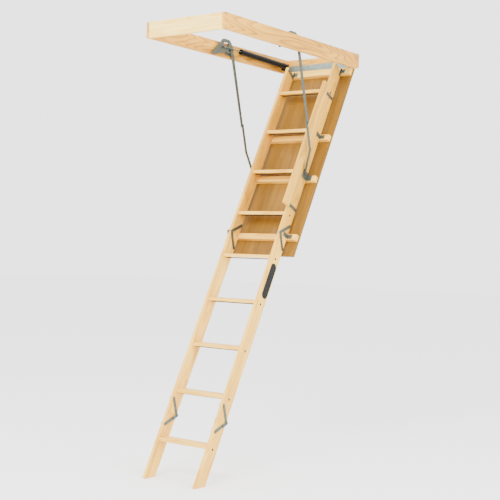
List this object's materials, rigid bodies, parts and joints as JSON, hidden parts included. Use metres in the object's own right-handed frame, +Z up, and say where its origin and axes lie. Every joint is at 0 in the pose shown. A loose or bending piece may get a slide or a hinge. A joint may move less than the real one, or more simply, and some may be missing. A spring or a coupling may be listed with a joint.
{
  "type": "attic ladder",
  "caption": "Wooden attic ladder in a hatch frame: a hinged door carries a ladder that folds in sections, with a handrail, steel arms and covered springs.",
  "frame": {"origin": "centre of the hatch frame at the ceiling plane, which is the underside of the frame", "axes": "+Z up, +X across the hatch to the climber's right, +Y along the hatch towards the hinge end"},
  "size_m": [0.568, 1.4168, 2.614],
  "materials": {
    "frame_pine": "bare planed pine",
    "ladder_pine": "bare planed pine",
    "plywood": "bare plywood",
    "zinc_steel": "dull zinc plate",
    "arm_steel": "dull zinc plate",
    "spring_cover": "black tube",
    "label_black": "blank black label"
  },
  "bodies": {
    "frame": {"frame_side_left": "frame_pine", "frame_side_right": "frame_pine", "frame_end": "frame_pine", "frame_header": "frame_pine", "frame_nails": "zinc_steel", "hinge_leaf_frame": "zinc_steel", "hinge_pin": "zinc_steel", "hinge_screws": "zinc_steel", "crank_mounts": "zinc_steel", "crank_nuts": "zinc_steel", "spring_covers": "spring_cover", "spring_anchors": "zinc_steel"},
    "door": {"hinge_leaf_door": "zinc_steel", "door_panel": "plywood", "batten_1": "ladder_pine", "batten_2": "ladder_pine", "batten_3": "ladder_pine", "batten_4": "ladder_pine", "rail_upper_left": "ladder_pine", "rail_upper_right": "ladder_pine", "tread_1": "ladder_pine", "tread_2": "ladder_pine", "tread_3": "ladder_pine", "tread_4": "ladder_pine", "tie_rods_upper": "zinc_steel", "tie_nuts_upper": "zinc_steel", "joint_1_straps_upper": "zinc_steel", "joint_1_rivets": "zinc_steel", "rail_brackets": "zinc_steel", "bracket_screws": "zinc_steel", "rail_top_brackets": "zinc_steel", "handrail": "ladder_pine", "handrail_straps": "zinc_steel", "handrail_bolts": "zinc_steel", "arm_brackets": "zinc_steel", "arm_nuts": "zinc_steel"},
    "middle_section": {"rail_middle_left": "ladder_pine", "rail_middle_right": "ladder_pine", "tread_5": "ladder_pine", "tread_6": "ladder_pine", "tread_7": "ladder_pine", "tread_8": "ladder_pine", "tie_rods_middle": "zinc_steel", "tie_nuts_middle": "zinc_steel", "joint_1_straps_lower": "zinc_steel", "joint_2_straps_upper": "zinc_steel", "joint_2_rivets": "zinc_steel", "label": "label_black"},
    "lower_section": {"rail_lower_left": "ladder_pine", "rail_lower_right": "ladder_pine", "tread_9": "ladder_pine", "tie_rods_lower": "zinc_steel", "tie_nuts_lower": "zinc_steel", "joint_2_straps_lower": "zinc_steel"},
    "crank_left": {"crank_left": "arm_steel"},
    "crank_right": {"crank_right": "arm_steel"},
    "lower_bar_left": {"lower_bar_left": "arm_steel"},
    "lower_bar_right": {"lower_bar_right": "arm_steel"},
    "spring_rod_left": {"spring_rod_left": "zinc_steel"},
    "spring_rod_right": {"spring_rod_right": "zinc_steel"}
  },
  "joints": [
    {"name": "door_hinge", "type": "hinge", "parent": "frame", "child": "door", "pos_m": [0, 0.676, 0], "axis": [-1, 0, 0], "range_deg": [0, 58]},
    {"name": "middle_fold", "type": "hinge", "parent": "door", "child": "middle_section", "pos_m": [0, 0.00672, -1.07873], "axis": [-1, 0, 0], "range_deg": [0, 180]},
    {"name": "lower_fold", "type": "hinge", "parent": "middle_section", "child": "lower_section", "pos_m": [0, -0.458, -2.16965], "axis": [1, 0, 0], "range_deg": [0, 180]},
    {"name": "crank_left_turn", "type": "hinge", "parent": "frame", "child": "crank_left", "pos_m": [-0.2505, 0.028, 0.048], "axis": [-1, 0, 0], "range_deg": [0, 108.45]},
    {"name": "lower_bar_left_turn", "type": "hinge", "parent": "door", "child": "lower_bar_left", "pos_m": [-0.2015, 0.2458, -0.70335], "axis": [-1, 0, 0], "range_deg": [-125.11, 0]},
    {"name": "spring_rod_left_slide", "type": "slide", "parent": "frame", "child": "spring_rod_left", "axis": [0, 0.9996, -0.0281], "range_m": [0, 0.09478]},
    {"name": "crank_right_turn", "type": "hinge", "parent": "frame", "child": "crank_right", "pos_m": [0.2505, 0.028, 0.048], "axis": [-1, 0, 0], "range_deg": [0, 108.45]},
    {"name": "lower_bar_right_turn", "type": "hinge", "parent": "door", "child": "lower_bar_right", "pos_m": [0.2015, 0.2458, -0.70335], "axis": [-1, 0, 0], "range_deg": [-125.11, 0]},
    {"name": "spring_rod_right_slide", "type": "slide", "parent": "frame", "child": "spring_rod_right", "axis": [0, 0.9996, -0.0281], "range_m": [0, 0.09478]}
  ],
  "couplings": [
    {"joint": "lower_fold", "follows": "middle_fold", "ratio": 1},
    {"joint": "crank_left_turn", "follows": "door_hinge", "ratio": 1.8697},
    {"joint": "lower_bar_left_turn", "follows": "door_hinge", "ratio": -2.1569},
    {"joint": "spring_rod_left_slide", "follows": "door_hinge", "m_per_rad": 0.093526},
    {"joint": "crank_right_turn", "follows": "door_hinge", "ratio": 1.8697},
    {"joint": "lower_bar_right_turn", "follows": "door_hinge", "ratio": -2.1569},
    {"joint": "spring_rod_right_slide", "follows": "door_hinge", "m_per_rad": 0.093526}
  ]
}
